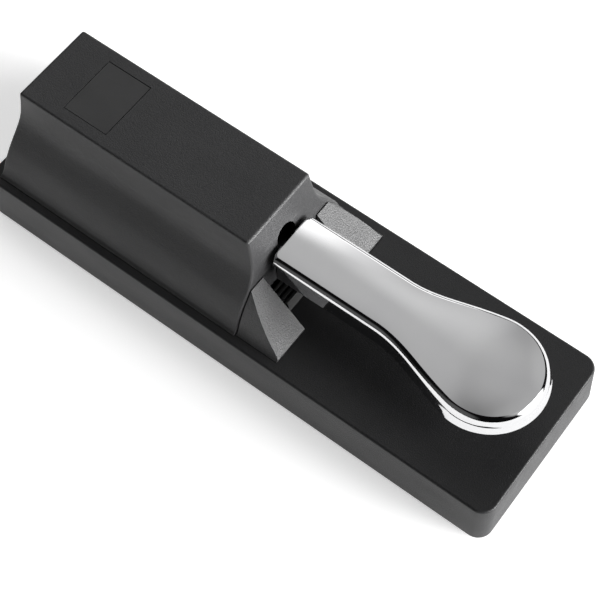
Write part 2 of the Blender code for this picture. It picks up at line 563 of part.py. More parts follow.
axle_half = 0.0132
groove = (0.0112, 0.0121)
axle = turned(
    "pivot_axle",
    [(0.0, axle_half), (AXLE_R - 0.0004, axle_half), (AXLE_R, axle_half - 0.0004), (AXLE_R, groove[1]), (AXLE_R - 0.0006, groove[1]),
     (AXLE_R - 0.0006, groove[0]), (AXLE_R, groove[0]), (AXLE_R, -groove[0]), (AXLE_R - 0.0006, -groove[0]), (AXLE_R - 0.0006, -groove[1]),
     (AXLE_R, -groove[1]), (AXLE_R, -axle_half + 0.0004), (AXLE_R - 0.0004, -axle_half), (0.0, -axle_half)],
    PIVOT, "steel", steps=24,
)
axle.rotation_euler = (0.0, math.pi / 2, 0.0)
for side, sx in (("left", -1), ("right", 1)):
    bush = turned(
        f"pivot_bush_{side}",
        [(AXLE_R + GAP, 0.00195), (0.0048, 0.00195), (0.0048, -0.00195), (AXLE_R + GAP, -0.00195)],
        PIVOT + Vector((sx * (ARM_HALF + CHEEK[0]) / 2, 0, 0)), "nylon", steps=24, hollow=True,
    )
    bush.rotation_euler = (0.0, math.pi / 2, 0.0)
    ring = []
    for k in range(17):
        a = math.radians(-90 + 35 + 290 * k / 16)
        ring.append((0.0044 * math.cos(a), 0.0044 * math.sin(a)))
    for k in range(17):
        a = math.radians(-90 + 35 + 290 * (1 - k / 16))
        ring.append((0.0022 * math.cos(a), 0.0022 * math.sin(a)))
    ring = [(y + PIVOT.y, h + PIVOT.z) for y, h in ring]
    lo, hi = sorted((sx * 0.01135, sx * 0.01195))
    prism(f"axle_clip_{side}", ring, "X", lo, hi, "spring_steel")

# ---------------------------------------------------------------- return spring and stops
seat_top = BASE_H + 0.0020
turned(
    "spring_seat",
    [(0.0, 0.0052), (0.0024, 0.0052), (0.0030, 0.0046), (0.0030, 0.0017), (0.0064, 0.0017), (0.0064, 0.0), (0.0, 0.0)],
    (0.0, SPRING_Y, BASE_TOP + GAP), "nylon", steps=24,
)
spring_z0 = seat_top + 2 * GAP + SPRING_WIRE - 0.0003
spring_z1 = ARM_Z0 - GAP - SPRING_WIRE
coil = bpy.data.curves.new("return_spring_wire", "CURVE")
coil.dimensions = "3D"
coil.bevel_depth = SPRING_WIRE
coil.bevel_resolution = 1
coil.use_fill_caps = True
coil_points = SPRING_TURNS * 14 + 1
wire = coil.splines.new("POLY")
wire.points.add(coil_points - 1)
for k, point in enumerate(wire.points):
    s = k / (coil_points - 1)
    a = 2 * math.pi * SPRING_TURNS * s
    # the end turns lie almost flat, the ones between are evenly pitched
    flat = 0.5 / SPRING_TURNS
    if s < flat:
        h = 0.04 * s / flat
    elif s > 1 - flat:
        h = 1 - 0.04 * (1 - s) / flat
    else:
        h = 0.04 + 0.92 * (s - flat) / (1 - 2 * flat)
    point.co = (SPRING_R * math.cos(a), SPRING_R * math.sin(a), (spring_z1 - spring_z0) * h, 1.0)
holder = bpy.data.objects.new("return_spring_wire", coil)
bpy.context.scene.collection.objects.link(holder)
mesh = bpy.data.meshes.new_from_object(holder.evaluated_get(bpy.context.evaluated_depsgraph_get()))
bpy.data.objects.remove(holder, do_unlink=True)
bm = bmesh.new()
bm.from_mesh(mesh)
bmesh.ops.remove_doubles(bm, verts=bm.verts, dist=0.000002)
bmesh.ops.recalc_face_normals(bm, faces=bm.faces)
bm.to_mesh(mesh)
bm.free()
mesh.name = "return_spring"
spring = bpy.data.objects.new("return_spring", mesh)
spring.location = (0.0, SPRING_Y, z(spring_z0))
finish(spring, "spring_steel")
smooth(spring)

turned(
    "up_stop_bumper",
    [(0.0, ARM_Z0 - BASE_H - 2 * GAP), (0.0032, ARM_Z0 - BASE_H - 2 * GAP), (0.0044, ARM_Z0 - BASE_H - 2 * GAP - 0.0014), (0.0050, 0.0), (0.0, 0.0)],
    (0.0, STOP_Y, BASE_TOP + GAP), "rubber", steps=24,
)

# ribbed rubber pad that the rocker lands on
pad_h = ARM_Z0 - (PIVOT_Y + 0.0140) * math.sin(THROW) - BASE_H - 0.0010
ribs = [(-0.0142, BASE_TOP + GAP), (-0.0046, BASE_TOP + GAP)]
steps = 4
top_z = BASE_TOP + pad_h
for k in range(steps):
    y1 = -0.0046 - (0.0096 / steps) * k
    y0 = y1 - 0.0096 / steps
    ribs += [(y1 - 0.0001, top_z - 0.0012), (y1 - 0.0005, top_z), (y0 + 0.0010, top_z), (y0 + 0.0006, top_z - 0.0012)]
prism("down_stop_pad", ribs, "X", -0.0150, 0.0150, "rubber")

# ---------------------------------------------------------------- switch
box("switch_bracket", (-0.0065, 0.0640, BASE_TOP + GAP), (0.0065, 0.0835, BASE_TOP + GAP + 0.0015), "zinc", edge=0.0003, segments=1)
body = box("microswitch_body", (-0.0030, 0.0655, BASE_TOP + 2 * GAP + 0.0015), (0.0030, 0.0790, z(0.0313)), "switch_plastic", edge=0.0003, segments=1)
cut(body, rod("cut_plunger_hole", 0.0012, 0.0060, (0.0, 0.0715, z(0.0313)), "Z", collection=CUTTERS, sides=16))
leaf_pivot = Vector((0.0, LEAF_Y, z(LEAF_Z)))
box("microswitch_leaf", (-0.0022, 0.0630, z(0.0328)), (0.0022, LEAF_Y + 0.0008, z(0.0332)), "spring_steel", edge=0.0, at=leaf_pivot)
rod("microswitch_plunger", 0.0009, 0.0036, (0.0, 0.0715, z(0.0325 - 0.0018)), "Z", "red_plastic", sides=16, edge=0.0003)

# polarity switch on its small board, reached from below
pcb_z = PLATE_T + 0.0070
pol = box("polarity_switch_body", (px - 0.0070, py - 0.0040, z(PLATE_T + GAP)), (px + 0.0070, py + 0.0040, z(pcb_z - GAP)), "zinc", edge=0.0003, segments=1)
cut(pol, box("cut_polarity_body", (px - 0.0050, py - 0.0020, z(0.0)), (px + 0.0050, py + 0.0020, z(PLATE_T + 0.0045)), collection=CUTTERS))
box("polarity_slider", (px - 0.0047, py - 0.0016, z(0.0004)), (px - 0.0012, py + 0.0016, z(PLATE_T + 0.0040)), "switch_plastic", edge=0.0003, segments=1)
board = box("polarity_board", (px - 0.0130, py - 0.0080, z(pcb_z)), (px + 0.0130, py + 0.0080, z(pcb_z + 0.0016)), "board")
for side, sx in (("left", -1), ("right", 1)):
    turned(
        f"board_spacer_{side}",
        [(0.0, pcb_z - PLATE_T - 2 * GAP), (0.0020, pcb_z - PLATE_T - 2 * GAP), (0.0020, 0.0), (0.0, 0.0)],
        (px + sx * 0.0100, py, z(PLATE_T + GAP)), "nylon", steps=16,
    )


def lead(name, route, radius, colour):
    """A wire along a smooth curve through its route's points."""
    points = []
    n = len(route)
    for i in range(n - 1):
        p0 = Vector(route[max(i - 1, 0)])
        p1, p2 = Vector(route[i]), Vector(route[i + 1])
        p3 = Vector(route[min(i + 2, n - 1)])
        for k in range(6):
            t = k / 6
            points.append(0.5 * ((2 * p1) + (p2 - p0) * t + (2 * p0 - 5 * p1 + 4 * p2 - p3) * t * t + (3 * p1 - 3 * p2 + p3 - p0) * t ** 3))
    points.append(Vector(route[-1]))
    curve = bpy.data.curves.new(name, "CURVE")
    curve.dimensions = "3D"
    curve.bevel_depth = radius
    curve.bevel_resolution = 1
    curve.use_fill_caps = True
    spline = curve.splines.new("POLY")
    spline.points.add(len(points) - 1)
    for point, co in zip(spline.points, points):
        point.co = (*co, 1.0)
    obj = bpy.data.objects.new(name, curve)
    return finish(obj, colour)


lead("lead_live", [(0.0015, 0.0796, z(0.0290)), (0.0035, 0.0830, z(0.0290)), (0.0090, 0.0868, z(0.0255)), (0.0100, 0.0872, z(0.0200)), (0.0110, 0.0840, z(0.0150)), (0.0120, 0.0775, z(0.0117)), (0.0120, 0.0735, z(0.0117))], 0.0006, "red_wire")
lead("lead_return", [(-0.0015, 0.0796, z(0.0290)), (0.0035, 0.0865, z(0.0300)), (0.0115, 0.0885, z(0.0255)), (0.0130, 0.0885, z(0.0200)), (0.0150, 0.0850, z(0.0150)), (0.0160, 0.0775, z(0.0117)), (0.0160, 0.0735, z(0.0117))], 0.0006, "black_wire")

bpy.context.view_layer.update()
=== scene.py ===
import math

import bmesh
import bpy
from mathutils import Matrix, Vector


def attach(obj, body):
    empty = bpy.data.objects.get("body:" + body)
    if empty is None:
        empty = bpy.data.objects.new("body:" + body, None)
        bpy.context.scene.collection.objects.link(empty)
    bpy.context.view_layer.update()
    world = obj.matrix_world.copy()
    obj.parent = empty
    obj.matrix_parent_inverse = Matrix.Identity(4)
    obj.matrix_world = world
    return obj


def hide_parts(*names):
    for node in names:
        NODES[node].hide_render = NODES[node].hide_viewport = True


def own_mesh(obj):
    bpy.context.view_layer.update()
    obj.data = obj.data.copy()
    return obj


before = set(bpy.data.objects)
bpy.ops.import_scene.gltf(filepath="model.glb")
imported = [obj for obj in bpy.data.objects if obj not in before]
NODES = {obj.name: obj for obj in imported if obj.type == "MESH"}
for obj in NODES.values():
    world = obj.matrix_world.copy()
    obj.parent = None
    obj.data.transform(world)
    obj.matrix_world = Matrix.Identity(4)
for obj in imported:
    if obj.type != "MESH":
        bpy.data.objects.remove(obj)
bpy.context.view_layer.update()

# ------------------------------------------------------------------ sizes, metres (the floor is z = 0)
FOOT = 0.0025
BASE_W, BASE_L, BASE_H = 0.0800, 0.2500, 0.0225
DRAFT, CORNER, WALL = 0.0013, 0.0065, 0.0025
BASE_TOP = FOOT + BASE_H
HOUSE_PROFILE = (
    (0.0194, 0.0665), (0.0197, 0.0620), (0.0202, 0.0570), (0.0209, 0.0530), (0.0222, 0.0495),
    (0.0243, 0.0460), (0.0270, 0.0420), (0.0296, 0.0380), (0.0318, 0.0338), (0.0335, 0.0300),
    (0.0347, 0.0264), (0.0354, 0.0245), (0.0363, 0.0236), (0.0366, 0.0228),
)
HOUSE_TOP, BEND_Z = 0.0665, 0.0435
HOUSE_Y0_TOP, HOUSE_Y0 = 0.0017, -0.0030
HOUSE_Y1_TOP, HOUSE_Y1 = 0.1157, 0.1198
NECK_HALF, NECK_END = 0.0131, -0.0520
SPOON_R, SPOON_Y, SPOON_JOIN = 0.0238, -0.0962, -0.0900
PEDAL_TOP, PEDAL_REAR = 0.0518, -0.0016


def z(h):
    return h + FOOT


# ------------------------------------------------------------------ node helpers for materials
def new_material(name):
    mat = bpy.data.materials.new(name)
    mat.use_nodes = True
    nt = mat.node_tree
    return mat, nt, nt.nodes["Principled BSDF"]


def add(nt, kind, **values):
    node = nt.nodes.new(kind)
    for key, value in values.items():
        if key in node.inputs:
            node.inputs[key].default_value = value
        else:
            setattr(node, key, value)
    return node


def noise(nt, coords, scale, detail=3.0, rough=0.55, stretch=None):
    source = coords
    if stretch is not None:
        mapping = add(nt, "ShaderNodeMapping")
        mapping.inputs["Scale"].default_value = stretch
        nt.links.new(coords, mapping.inputs["Vector"])
        source = mapping.outputs["Vector"]
    tex = add(nt, "ShaderNodeTexNoise")
    tex.inputs["Scale"].default_value = scale
    tex.inputs["Detail"].default_value = detail
    tex.inputs["Roughness"].default_value = rough
    nt.links.new(source, tex.inputs["Vector"])
    return tex.outputs["Fac"]


def remap(nt, value, low, high, to_low, to_high):
    node = add(nt, "ShaderNodeMapRange")
    node.inputs["From Min"].default_value = low
    node.inputs["From Max"].default_value = high
    node.inputs["To Min"].default_value = to_low
    node.inputs["To Max"].default_value = to_high
    nt.links.new(value, node.inputs["Value"])
    return node.outputs["Result"]


def mix_colour(nt, factor, a, b):
    node = add(nt, "ShaderNodeMix")
    node.data_type = "RGBA"
    nt.links.new(factor, node.inputs["Factor"])
    node.inputs["A"].default_value = (*a, 1.0)
    node.inputs["B"].default_value = (*b, 1.0)
    return node.outputs["Result"]


def bump(nt, height, distance, strength=1.0, normal=None):
    node = add(nt, "ShaderNodeBump")
    node.inputs["Distance"].default_value = distance
    node.inputs["Strength"].default_value = strength
    nt.links.new(height, node.inputs["Height"])
    if normal is not None:
        nt.links.new(normal, node.inputs["Normal"])
    return node.outputs["Normal"]


def object_coords(nt):
    return add(nt, "ShaderNodeTexCoord").outputs["Object"]


def moulded_plastic(name, dark, light, rough, grain_mm, depth, wear=0.0, speckle=0.6, specular=0.5):
    """Moulded plastic: fine spark-eroded grain, slow changes of gloss, paler rubbed corners."""
    mat, nt, shader = new_material(name)
    co = object_coords(nt)
    grain = noise(nt, co, 1.0 / (grain_mm * 0.001), 2.0, 0.6)
    slow = noise(nt, co, 28.0, 4.0, 0.55)
    smear = noise(nt, co, 90.0, 3.0, 0.6, stretch=(1.0, 0.35, 1.0))
    fleck = remap(nt, grain, 0.3, 0.7, -speckle, speckle)
    spread = add(nt, "ShaderNodeMath", operation="ADD")
    nt.links.new(remap(nt, slow, 0.3, 0.7, 0.0, 1.0), spread.inputs[0])
    nt.links.new(fleck, spread.inputs[1])
    colour = mix_colour(nt, spread.outputs["Value"], dark, light)
    if wear:
        edge = add(nt, "ShaderNodeNewGeometry").outputs["Pointiness"]
        rub = remap(nt, edge, 0.53, 0.60, 0.0, wear)
        worn = add(nt, "ShaderNodeMix")
        worn.data_type = "RGBA"
        nt.links.new(rub, worn.inputs["Factor"])
        nt.links.new(colour, worn.inputs["A"])
        worn.inputs["B"].default_value = (0.11, 0.11, 0.112, 1.0)
        colour = worn.outputs["Result"]
    nt.links.new(colour, shader.inputs["Base Color"])
    gloss = remap(nt, smear, 0.25, 0.75, rough - 0.05, rough + 0.06)
    nt.links.new(gloss, shader.inputs["Roughness"])
    nt.links.new(bump(nt, grain, depth), shader.inputs["Normal"])
    shader.inputs["IOR"].default_value = 1.5
    shader.inputs["Specular IOR Level"].default_value = specular
    return mat


def metal(name, colour, tint, rough, brush=None, scratch=0.0, spots=0.0):
    """Metal: slight tint changes, brushed or polished roughness, hairline scratches."""
    mat, nt, shader = new_material(name)
    co = object_coords(nt)
    slow = noise(nt, co, 60.0, 3.0, 0.5)
    nt.links.new(mix_colour(nt, remap(nt, slow, 0.3, 0.7, 0.0, 1.0), colour, tint), shader.inputs["Base Color"])
    shader.inputs["Metallic"].default_value = 1.0
    if brush is not None:
        streak = noise(nt, co, 900.0, 3.0, 0.6, stretch=brush)
        nt.links.new(remap(nt, streak, 0.2, 0.8, rough - 0.08, rough + 0.10), shader.inputs["Roughness"])
        nt.links.new(bump(nt, streak, 0.00003), shader.inputs["Normal"])
    else:
        haze = noise(nt, co, 45.0, 4.0, 0.6, stretch=(1.0, 0.5, 1.0))
        nt.links.new(remap(nt, haze, 0.35, 0.75, rough, rough + spots), shader.inputs["Roughness"])
        if scratch:
            hair = noise(nt, co, 700.0, 2.0, 0.5, stretch=(1.0, 0.06, 1.0))
            nt.links.new(bump(nt, hair, scratch), shader.inputs["Normal"])
    return mat


def rubber(name, colour, light, rough=0.82):
    mat, nt, shader = new_material(name)
    co = object_coords(nt)
    grain = noise(nt, co, 1700.0, 3.0, 0.65)
    slow = noise(nt, co, 55.0, 4.0, 0.6)
    nt.links.new(mix_colour(nt, remap(nt, slow, 0.35, 0.75, 0.0, 1.0), colour, light), shader.inputs["Base Color"])
    nt.links.new(remap(nt, slow, 0.3, 0.7, rough - 0.07, rough + 0.07), shader.inputs["Roughness"])
    nt.links.new(bump(nt, grain, 0.00006), shader.inputs["Normal"])
    return mat


HOUSING = moulded_plastic("housing_plastic", (0.0240, 0.0240, 0.0250), (0.0310, 0.0310, 0.0320), 0.46, 0.55, 0.00016, 0.25, 0.8, 0.42)
BASE = moulded_plastic("base_plastic", (0.0155, 0.0155, 0.0163), (0.0215, 0.0215, 0.0223), 0.45, 0.50, 0.00012, 0.25, 0.8, 0.32)
# the guard plastic is mixed paler than the housing plastic: painted light, standing in for the front light that
# brightens the guard tops
GUARD_PAINTED_LIGHT = moulded_plastic("guard_plastic", (0.0400, 0.0400, 0.0410), (0.0530, 0.0530, 0.0540), 0.50, 0.65, 0.00024, 0.2, 0.9)
INSIDE = moulded_plastic("inner_plastic", (0.0140, 0.0140, 0.0148), (0.0190, 0.0190, 0.0200), 0.55, 0.5, 0.00006)
BADGE = moulded_plastic("badge_plastic", (0.0120, 0.0120, 0.0125), (0.0150, 0.0150, 0.0156), 0.34, 0.30, 0.00002)
NYLON = moulded_plastic("nylon", (0.62, 0.60, 0.54), (0.70, 0.68, 0.61), 0.42, 0.35, 0.00004)
RED = moulded_plastic("red_plastic", (0.36, 0.012, 0.012), (0.45, 0.02, 0.02), 0.35, 0.3, 0.00002)
CHROME = metal("pedal_chrome", (0.70, 0.70, 0.71), (0.73, 0.73, 0.735), 0.045, scratch=0.0000006, spots=0.05)
STEEL = metal("bare_steel", (0.42, 0.42, 0.43), (0.50, 0.50, 0.50), 0.33, brush=(0.08, 1.0, 1.0))
ZINC = metal("zinc_plate", (0.55, 0.54, 0.50), (0.66, 0.66, 0.64), 0.34, brush=(1.0, 1.0, 0.2))
SPRING = metal("spring_steel", (0.42, 0.42, 0.44), (0.52, 0.52, 0.53), 0.24, brush=(1.0, 1.0, 0.3))
RUBBER = rubber("black_rubber", (0.014, 0.014, 0.014), (0.024, 0.024, 0.023))


def painted_plate():
    mat, nt, shader = new_material("painted_plate")
    co = object_coords(nt)
    orange_peel = noise(nt, co, 700.0, 3.0, 0.5)
    slow = noise(nt, co, 18.0, 5.0, 0.6)
    nt.links.new(mix_colour(nt, remap(nt, slow, 0.35, 0.75, 0.0, 1.0), (0.020, 0.020, 0.021), (0.032, 0.032, 0.033)), shader.inputs["Base Color"])
    nt.links.new(remap(nt, slow, 0.3, 0.7, 0.38, 0.55), shader.inputs["Roughness"])
    nt.links.new(bump(nt, orange_peel, 0.00008), shader.inputs["Normal"])
    return mat


def circuit_board():
    mat, nt, shader = new_material("circuit_board")
    co = object_coords(nt)
    weave = add(nt, "ShaderNodeTexWave")
    weave.inputs["Scale"].default_value = 260.0
    weave.inputs["Distortion"].default_value = 1.5
    nt.links.new(co, weave.inputs["Vector"])
    nt.links.new(mix_colour(nt, remap(nt, weave.outputs["Fac"], 0.3, 0.7, 0.0, 1.0), (0.012, 0.12, 0.045), (0.03, 0.19, 0.075)), shader.inputs["Base Color"])
    gloss = noise(nt, co, 120.0)
    nt.links.new(remap(nt, gloss, 0.3, 0.7, 0.3, 0.45), shader.inputs["Roughness"])
    nt.links.new(bump(nt, weave.outputs["Fac"], 0.00004), shader.inputs["Normal"])
    return mat


def insulation(name, a, b):
    mat, nt, shader = new_material(name)
    co = object_coords(nt)
    slow = noise(nt, co, 300.0, 3.0)
    nt.links.new(mix_colour(nt, slow, a, b), shader.inputs["Base Color"])
    nt.links.new(remap(nt, slow, 0.3, 0.7, 0.38, 0.52), shader.inputs["Roughness"])
    nt.links.new(bump(nt, noise(nt, co, 2500.0), 0.00003), shader.inputs["Normal"])
    return mat


PLATE = painted_plate()
BOARD = circuit_board()
RED_WIRE = insulation("red_insulation", (0.38, 0.012, 0.012), (0.48, 0.02, 0.018))
BLACK_WIRE = insulation("black_insulation", (0.012, 0.012, 0.012), (0.022, 0.022, 0.022))


def looks(name):
    if name.startswith("foot_") or name in ("up_stop_bumper", "down_stop_pad", "cable_gland"):
        return RUBBER
    if "screw" in name:
        return ZINC
    if name == "bottom_plate":
        return PLATE
    if name in ("pivot_bracket", "rocker_arm", "pivot_axle", "switch_bracket", "polarity_switch_body"):
        return STEEL
    if name in ("return_spring", "axle_clip_left", "axle_clip_right", "microswitch_leaf"):
        return SPRING
    if name in ("actuator_pad", "pivot_bush_left", "pivot_bush_right", "spring_seat", "board_spacer_left", "board_spacer_right"):
        return NYLON
    if name == "microswitch_plunger":
        return RED
    if name == "polarity_board":
        return BOARD
    if name == "lead_live":
        return RED_WIRE
    if name == "lead_return":
        return BLACK_WIRE
    if name == "label_badge":
        return BADGE
    return {"base_tray": BASE, "housing_cover": HOUSING, "guard_left": GUARD_PAINTED_LIGHT, "guard_right": GUARD_PAINTED_LIGHT, "pedal_casting": CHROME}.get(name, INSIDE)


for node_name, node in NODES.items():
    node.data.materials.clear()
    node.data.materials.append(looks(node_name))


# ------------------------------------------------------------------ mesh helpers
def mesh_object(name, bm, material, smooth_angle=30.0):
    mesh = bpy.data.meshes.new(name)
    bm.normal_update()
    bm.to_mesh(mesh)
    bm.free()
    obj = bpy.data.objects.new(name, mesh)
    bpy.context.scene.collection.objects.link(obj)
    if material is not None:
        mesh.materials.append(material)
    if smooth_angle:
        mesh.shade_smooth()
        mesh.set_sharp_from_angle(angle=math.radians(smooth_angle))
    return obj


def extrude_outline(outline, axis, a, b):
    """bmesh of an outline across an axis, extruded from a to b."""
    bm = bmesh.new()

    def at(u, v, w):
        return {"Z": (u, v, w), "Y": (u, w, v), "X": (w, u, v)}[axis]

    face = bm.faces.new([bm.verts.new(at(u, v, a)) for u, v in outline])
    done = bmesh.ops.extrude_face_region(bm, geom=[face])
    moved = [e for e in done["geom"] if isinstance(e, bmesh.types.BMVert)]
    step = {"Z": (0, 0, b - a), "Y": (0, b - a, 0), "X": (b - a, 0, 0)}[axis]
    bmesh.ops.translate(bm, vec=step, verts=moved)
    bmesh.ops.recalc_face_normals(bm, faces=bm.faces)
    return bm


def trim(bm, point, normal):
    bmesh.ops.bisect_plane(bm, geom=bm.verts[:] + bm.edges[:] + bm.faces[:], plane_co=point, plane_no=normal, clear_outer=True, dist=1e-7)
    bmesh.ops.contextual_create(bm, geom=[e for e in bm.edges if e.is_boundary])
    bmesh.ops.recalc_face_normals(bm, faces=bm.faces)


def round_edges(bm, width, segments, chosen):
    bm.normal_update()
    bmesh.ops.bevel(bm, geom=[e for e in bm.edges if chosen(e)], offset=width, segments=segments, profile=0.5, affect="EDGES", clamp_overlap=True)


def spline_points(points, per=5):
    """A smooth curve through a row of points."""
    out = []
    n = len(points)
    for i in range(n - 1):
        p0, p1 = Vector(points[max(i - 1, 0)]), Vector(points[i])
        p2, p3 = Vector(points[i + 1]), Vector(points[min(i + 2, n - 1)])
        for k in range(per):
            t = k / per
            out.append(0.5 * ((2 * p1) + (p2 - p0) * t + (2 * p0 - 5 * p1 + 4 * p2 - p3) * t * t + (3 * p1 - 3 * p2 + p3 - p0) * t ** 3))
    out.append(Vector(points[-1]))
    return out


def boolean(target, bm_or_obj, operation="DIFFERENCE"):
    """Applies a Boolean to the target's mesh and removes the other shape."""
    other = bm_or_obj
    if isinstance(bm_or_obj, bmesh.types.BMesh):
        other = mesh_object("cutter", bm_or_obj, None, 0)
    step = target.modifiers.new("cut", "BOOLEAN")
    step.operation = operation
    step.solver = "EXACT"
    step.object = other
    graph = bpy.context.evaluated_depsgraph_get()
    result = bpy.data.meshes.new_from_object(target.evaluated_get(graph))
    target.modifiers.clear()
    old = target.data
    target.data = result
    bpy.data.meshes.remove(old)
    bpy.data.objects.remove(other, do_unlink=True)
    return target


def block(lo, hi):
    bm = bmesh.new()
    bmesh.ops.create_cube(bm, size=1.0)
    lo, hi = Vector(lo), Vector(hi)
    for v in bm.verts:
        v.co = Vector(((lo.x + hi.x) / 2 + v.co.x * (hi.x - lo.x), (lo.y + hi.y) / 2 + v.co.y * (hi.y - lo.y), (lo.z + hi.z) / 2 + v.co.z * (hi.z - lo.z)))
    return bm


def resharpen(obj, angle, material):
    obj.data.materials.clear()
    obj.data.materials.append(material)
    obj.data.shade_smooth()
    obj.data.set_sharp_from_angle(angle=math.radians(angle))
    weigh = obj.modifiers.new("weighted", "WEIGHTED_NORMAL")
    weigh.keep_sharp = True
    weigh.weight = 50


# ------------------------------------------------------------------ base
def drafted(half_x, half_y, z0, z1, draft, corner, edge, corner_segments, edge_segments):
    bm = bmesh.new()
    bmesh.ops.create_cube(bm, size=2.0)
    for v in bm.verts:
        low = v.co.z < 0
        s = draft if low else 0.0
        v.co = Vector((math.copysign(half_x + s, v.co.x), math.copysign(half_y + s, v.co.y), z0 if low else z1))
    bmesh.ops.bevel(bm, geom=[e for e in bm.edges if abs(e.verts[0].co.z - e.verts[1].co.z) > 1e-6], offset=corner, segments=corner_segments, profile=0.5, affect="EDGES")
    if edge:
        bmesh.ops.bevel(bm, geom=[e for e in bm.edges if all(abs(v.co.z - z1) < 1e-7 for v in e.verts)], offset=edge, segments=edge_segments, profile=0.5, affect="EDGES")
    return bm


base = mesh_object("base_moulding", drafted(BASE_W / 2, BASE_L / 2, z(0), BASE_TOP, DRAFT, CORNER, 0.0010, 16, 5), BASE)
boolean(base, drafted(BASE_W / 2 - WALL, BASE_L / 2 - WALL, z(-0.004), BASE_TOP - WALL, DRAFT, CORNER - WALL, 0, 8, 0))
boolean(base, block((0.0070, 0.0840, BASE_TOP - 0.006), (0.0150, 0.0900, BASE_TOP + 0.003)))
resharpen(base, 30, BASE)
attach(base, "chassis")
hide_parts("base_tray")


# ------------------------------------------------------------------ housing
def half_profile(inset, drop, per=5):
    pts = spline_points(HOUSE_PROFILE, per)
    out = []
    n = len(pts)
    for i, p in enumerate(pts):
        if i == 0:
            out.append((p.x - inset, p.y - inset))
            continue
        t = (pts[min(i + 1, n - 1)] - pts[max(i - 1, 0)]).normalized()
        out.append((p.x + t.y * inset, p.y - t.x * inset))
    if drop:
        out.append((out[-1][0], out[-1][1] - drop))
    return out


def full_outline(inset, drop):
    half = [(x, z(h)) for x, h in half_profile(inset, drop)]
    return half + [(-x, h) for x, h in reversed(half)]


def housing_ends(bm, inset):
    lean = Vector((0.0, BEND_Z - HOUSE_TOP, HOUSE_Y0_TOP - HOUSE_Y0)).normalized()
    trim(bm, Vector((0.0, HOUSE_Y0_TOP, z(HOUSE_TOP))) - lean * inset, lean)
    trim(bm, Vector((0.0, HOUSE_Y0 + inset, 0.0)), Vector((0.0, -1.0, 0.0)))
    back = Vector((0.0, HOUSE_TOP - BASE_H, HOUSE_Y1 - HOUSE_Y1_TOP)).normalized()
    trim(bm, Vector((0.0, HOUSE_Y1_TOP, z(HOUSE_TOP))) - back * inset, back)


def housing_shell(radius, segments=6):
    """The housing's outside with rounded edges, as rings that follow its profile from front to back."""
    pts = [Vector(p) for p in half_profile(0.0, 0.0)]
    side = (pts[1] - pts[0]).normalized()
    reach = radius / math.tan(math.acos(-side.x) / 2)
    top, end = pts[0] + Vector((-reach, 0.0)), pts[0] + side * reach
    corner = [top * (1 - u) ** 2 + pts[0] * 2 * u * (1 - u) + end * u * u for u in (k / segments for k in range(segments + 1))]
    pts = corner + [p for p in pts[1:] if (p - pts[0]).length > reach * 1.05]
    n = len(pts)
    ways = [(pts[min(i + 1, n - 1)] - pts[max(i - 1, 0)]).normalized() for i in range(n)]
    ways[0] = Vector((1.0, 0.0))
    low = pts[-1].y
    arc = [(1 - math.sin(math.pi / 2 * k / segments), 1 - math.cos(math.pi / 2 * k / segments)) for k in range(segments + 1)]
    bm = bmesh.new()
    rings = []
    for front in (True, False):
        for in_by, back_by in (arc if front else reversed(arc)):
            ring = []
            for p, way in zip(pts, ways):
                r = radius * min(max((p.y - low) / 0.004, 0.0), 1.0)
                q = p - Vector((-way.y, way.x)) * (r * in_by)
                if front:
                    lean = max(q.y - BEND_Z, 0.0) / (HOUSE_TOP - BEND_Z)
                    y = HOUSE_Y0 + (HOUSE_Y0_TOP - HOUSE_Y0) * lean + r * back_by
                else:
                    lean = (q.y - BASE_H) / (HOUSE_TOP - BASE_H)
                    y = HOUSE_Y1 + (HOUSE_Y1_TOP - HOUSE_Y1) * lean - r * back_by
                ring.append((q.x, y, z(q.y)))
            rings.append([bm.verts.new(v) for v in ring] + [bm.verts.new((-x, y, h)) for x, y, h in reversed(ring)])
    for one, two in zip(rings, rings[1:]):
        for i in range(2 * n):
            j = (i + 1) % (2 * n)
            bm.faces.new((one[i], one[j], two[j], two[i]))
    for ring in (rings[0], rings[-1]):
        for i in range(n - 1):
            bm.faces.new((ring[i], ring[i + 1], ring[2 * n - 2 - i], ring[2 * n - 1 - i]))
    bmesh.ops.recalc_face_normals(bm, faces=bm.faces)
    return bm


shell = housing_shell(0.0012)
housing = mesh_object("housing_moulding", shell, HOUSING)
inner = extrude_outline(full_outline(0.0024, 0.006), "Y", -0.012, 0.132)
housing_ends(inner, 0.0024)
boolean(housing, inner)
arch = [(-0.0055, z(0.0300)), (0.0055, z(0.0300))]
for k in range(33):
    a = math.pi * k / 32
    arch.append((0.0055 * math.cos(a), z(0.0505) + 0.0055 * math.sin(a)))
boolean(housing, extrude_outline(arch, "Y", -0.014, 0.0085))
LW, LL, LY, LD = 0.0278, 0.0218, 0.0864, 0.0007
boolean(housing, block((-LW / 2, LY - LL / 2, z(HOUSE_TOP - LD)), (LW / 2, LY + LL / 2, z(HOUSE_TOP + 0.002))))
gland_hole = bmesh.new()
bmesh.ops.create_cone(gland_hole, cap_ends=True, segments=48, radius1=0.0045, radius2=0.0045, depth=0.020)
bmesh.ops.transform(gland_hole, matrix=Matrix.Translation((0.0, 0.118, z(0.0340))) @ Matrix.Rotation(math.pi / 2, 4, "X"), verts=gland_hole.verts)
boolean(housing, gland_hole)
resharpen(housing, 28, HOUSING)
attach(housing, "chassis")
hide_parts("housing_cover")

